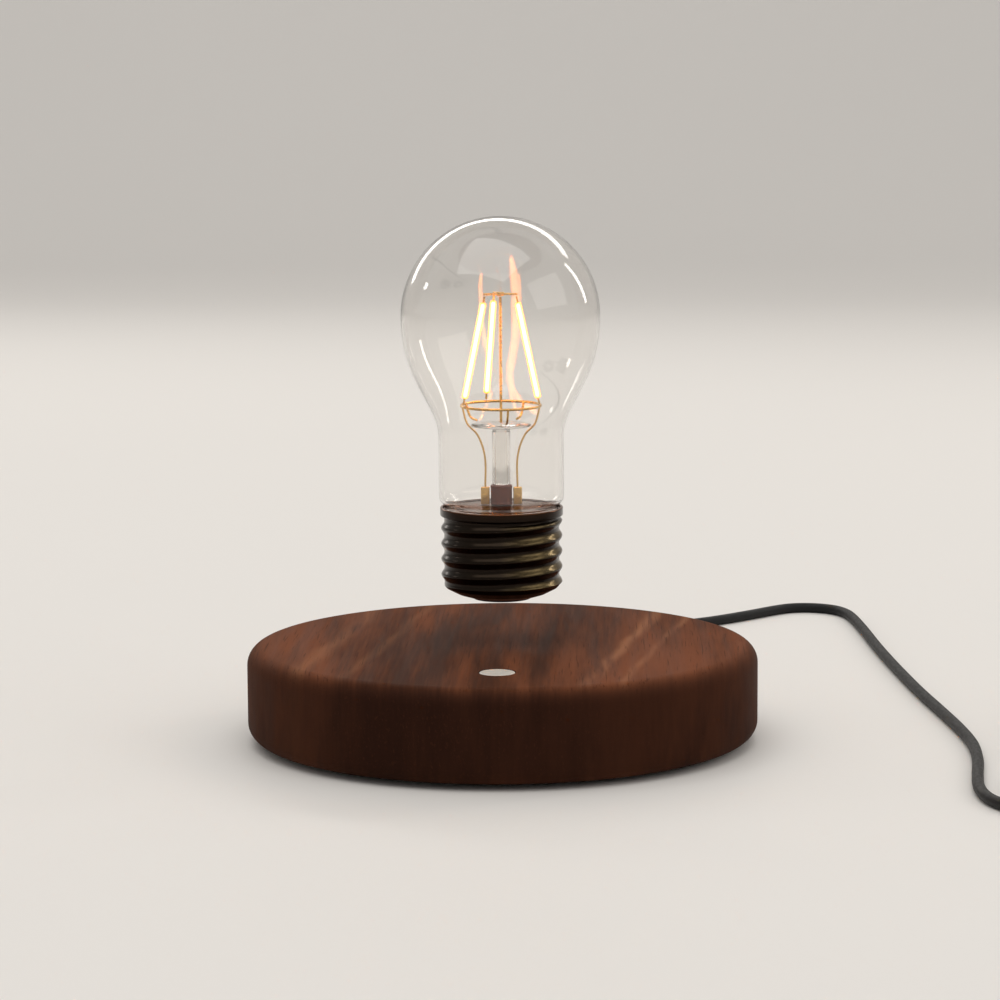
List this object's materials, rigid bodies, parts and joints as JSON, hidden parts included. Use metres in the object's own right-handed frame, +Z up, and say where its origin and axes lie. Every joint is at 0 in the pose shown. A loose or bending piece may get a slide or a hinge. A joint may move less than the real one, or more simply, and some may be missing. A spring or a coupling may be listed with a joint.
{
  "type": "levitating lamp",
  "caption": "Table lamp with a round wooden base that holds a clear LED bulb in the air above it by magnets, fed by a barrel plug and a wall adapter",
  "frame": {"origin": "on the table plane under the middle of the wooden base", "axes": "+Z up, -Y towards the touch pad, +Y towards the power socket"},
  "size_m": [0.3025, 0.3412, 0.159],
  "materials": {
    "walnut": "satin varnish",
    "cover_plastic": "matte",
    "foot_rubber": "matte",
    "screw_steel": "plain",
    "board_laminate": "solder mask",
    "chip_black": "matte",
    "capacitor_can": "drawn",
    "carrier_nylon": "moulded",
    "ferrite": "sintered",
    "coil_copper": "enamelled wire",
    "touch_metal": "brushed",
    "socket_plastic": "moulded",
    "nickel": "plated",
    "cap_metal": "black nickel, glossy",
    "contact_glass": "glossy",
    "contact_tin": "dull tin",
    "magnet_nickel": "plated",
    "plate_bronze": "bronze, glossy",
    "post_plastic": "moulded",
    "wire_brass": "drawn",
    "clear_glass": "clear",
    "lit_phosphor": "lit",
    "lead_plastic": "moulded",
    "cord_black": "satin",
    "adapter_plastic": "moulded"
  },
  "bodies": {
    "base": {"wood_base": "walnut", "bottom_cover": "cover_plastic", "rubber_foot_1": "foot_rubber", "rubber_foot_2": "foot_rubber", "rubber_foot_3": "foot_rubber", "rubber_foot_4": "foot_rubber", "cover_screw_1": "screw_steel", "cover_screw_2": "screw_steel", "cover_screw_3": "screw_steel", "cover_screw_4": "screw_steel", "module_screw_1": "screw_steel", "module_screw_2": "screw_steel", "module_screw_3": "screw_steel", "control_board": "board_laminate", "driver_chip": "chip_black", "main_capacitor": "capacitor_can", "hall_sensor_1": "chip_black", "hall_sensor_2": "chip_black", "coil_carrier": "carrier_nylon", "magnet_ring": "ferrite", "levitation_coil_1": "coil_copper", "levitation_coil_2": "coil_copper", "levitation_coil_3": "coil_copper", "levitation_coil_4": "coil_copper", "transmitter_coil": "coil_copper", "transmitter_shield": "ferrite", "touch_pad": "touch_metal", "touch_post": "touch_metal", "dc_jack": "socket_plastic", "jack_pin": "nickel", "jack_nut": "nickel"},
    "magnet": {"float_magnet": "magnet_nickel"},
    "bulb": {"screw_shell": "cap_metal", "contact_insulator": "contact_glass", "bottom_contact": "contact_tin", "coil_bobbin": "carrier_nylon", "receiver_coil": "coil_copper", "receiver_board": "board_laminate", "cap_plate": "plate_bronze", "centre_post": "post_plastic", "wire_terminal_1": "wire_brass", "wire_terminal_2": "wire_brass", "glass_envelope": "clear_glass", "stem_tube": "clear_glass", "stem_flare": "clear_glass", "support_rod": "wire_brass", "lower_ring": "wire_brass", "filament_hub": "wire_brass", "led_filament_1": "lit_phosphor", "led_filament_2": "lit_phosphor", "led_filament_3": "lit_phosphor"},
    "lead": {"plug_body": "lead_plastic", "plug_barrel": "nickel", "lead_stretch": "cord_black", "lead_coil": "cord_black", "coil_tie": "cord_black", "adapter_strain_relief": "adapter_plastic", "adapter_case": "adapter_plastic", "adapter_blade_1": "nickel", "adapter_blade_2": "nickel"}
  },
  "joints": [
    {"name": "bulb_lift", "type": "slide", "parent": "base", "child": "magnet", "axis": [0, 0, 1], "range_m": [-0.013, 0.08], "stiffness_N_per_m": 100, "springref_m": 0.01075},
    {"name": "bulb_spin", "type": "hinge", "parent": "magnet", "child": "bulb", "pos_m": [0, 0, 0.0428], "axis": [0, 0, 1], "continuous": true},
    {"name": "plug_pull", "type": "slide", "parent": "base", "child": "lead", "axis": [0, 1, 0], "range_m": [0, 0.012]}
  ]
}
